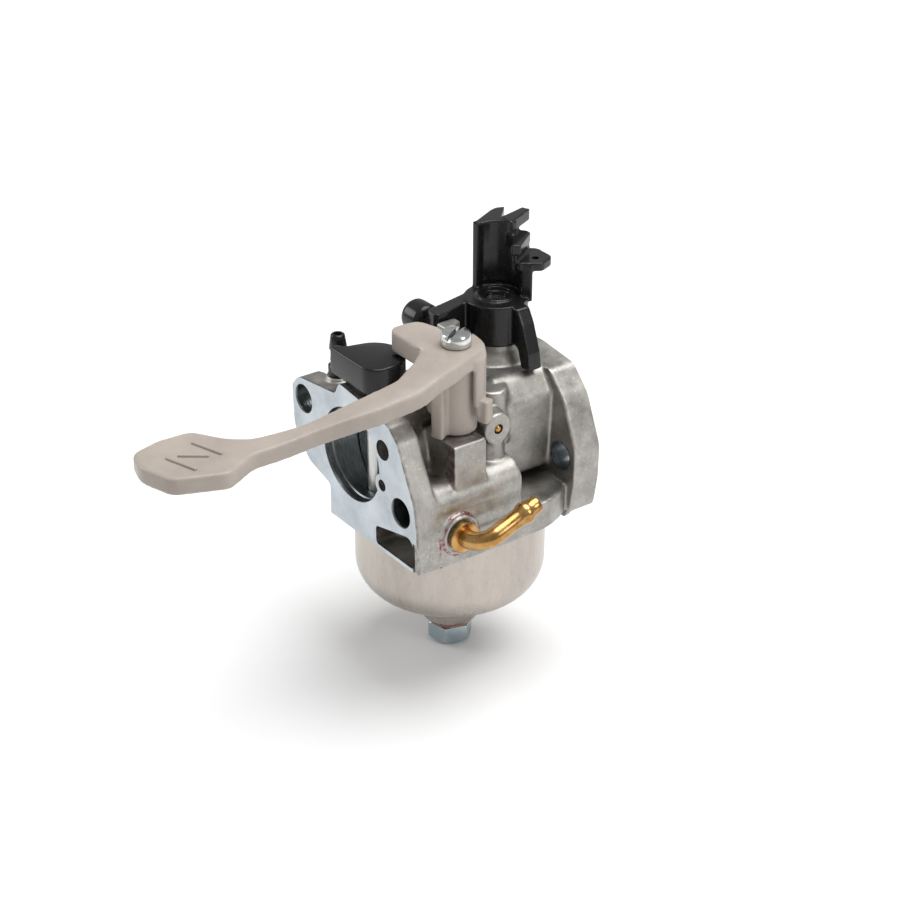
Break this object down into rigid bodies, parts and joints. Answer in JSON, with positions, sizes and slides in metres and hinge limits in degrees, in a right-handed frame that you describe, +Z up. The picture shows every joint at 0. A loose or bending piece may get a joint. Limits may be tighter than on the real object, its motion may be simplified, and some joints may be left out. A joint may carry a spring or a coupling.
{
  "type": "carburetor",
  "caption": "Float carburetor for a small engine, with a swinging choke lever, a throttle lever, an idle speed screw, a float bowl and a brass fuel elbow.",
  "frame": {"origin": "centre of the engine port, in the engine flange's face", "axes": "+Y along the air passage towards the engine, +Z up along the choke and throttle shafts, +X towards the fuel inlet"},
  "size_m": [0.063, 0.1168, 0.1069],
  "materials": {
    "cast_alloy": "rough die casting with machined faces",
    "drawn_steel": "satin, drawn",
    "zinc_steel": "bluish zinc plate",
    "brass": "bright, slightly tarnished",
    "black_plastic": "semi-gloss moulded",
    "grey_plastic": "satin moulded",
    "black_rubber": "matt",
    "fibre": "matt pressed fibre"
  },
  "bodies": {
    "casting": {"carburetor_body": "cast_alloy", "float_bowl": "drawn_steel", "bowl_gasket": "black_rubber", "bowl_bolt": "zinc_steel", "bowl_washer": "fibre", "fuel_inlet_elbow": "brass", "needle_seat": "brass", "float_pin": "zinc_steel", "main_jet": "brass", "emulsion_tube": "brass", "pilot_jet": "brass", "pilot_jet_cap": "black_plastic", "choke_lever_screw": "zinc_steel", "throttle_shaft_seal": "black_rubber", "mixture_spring": "zinc_steel", "vent_nipple": "black_plastic", "passage_plug": "brass"},
    "choke_lever": {"choke_lever": "grey_plastic"},
    "choke_valve": {"choke_shaft": "zinc_steel", "choke_plate": "zinc_steel", "choke_plate_screw_upper": "zinc_steel", "choke_plate_screw_lower": "zinc_steel", "choke_cap": "black_plastic"},
    "throttle": {"throttle_shaft": "zinc_steel", "throttle_plate": "brass", "throttle_plate_screw": "brass", "throttle_lever": "black_plastic"},
    "idle_speed_screw": {"idle_speed_screw": "black_plastic"},
    "mixture_screw": {"mixture_screw": "brass", "mixture_limiter_cap": "black_plastic"},
    "float": {"float": "black_plastic"},
    "inlet_needle": {"inlet_needle": "black_rubber"}
  },
  "joints": [
    {"name": "choke_lever_swing", "type": "hinge", "parent": "casting", "child": "choke_lever", "pos_m": [0.016, -0.0355, 0.0292], "axis": [0, 0, 1], "range_deg": [0, 28]},
    {"name": "choke_valve_turn", "type": "hinge", "parent": "casting", "child": "choke_valve", "pos_m": [0, -0.0465, 0], "axis": [0, 0, 1], "range_deg": [-76, 0]},
    {"name": "throttle_turn", "type": "hinge", "parent": "casting", "child": "throttle", "pos_m": [0, -0.012, 0], "axis": [0, 0, -1], "range_deg": [0, 66]},
    {"name": "idle_speed_screw_turn", "type": "hinge", "parent": "throttle", "child": "idle_speed_screw", "pos_m": [-0.0114, -0.028, 0.025], "axis": [1, 0, 0], "range_deg": [-180, 180]},
    {"name": "mixture_screw_turn", "type": "hinge", "parent": "casting", "child": "mixture_screw", "pos_m": [-0.0246, -0.014, -0.006], "axis": [1, 0, 0], "range_deg": [-80, 80]},
    {"name": "float_swing", "type": "hinge", "parent": "casting", "child": "float", "pos_m": [0.0055, -0.0427, -0.025], "axis": [1, 0, 0], "range_deg": [0, 10]},
    {"name": "inlet_needle_lift", "type": "slide", "parent": "casting", "child": "inlet_needle", "axis": [0, 0, 1], "range_m": [0, 0.00067]}
  ],
  "couplings": [
    {"joint": "choke_valve_turn", "follows": "choke_lever_swing", "ratio": -2.69},
    {"joint": "inlet_needle_lift", "follows": "float_swing", "m_per_rad": 0.0038}
  ]
}
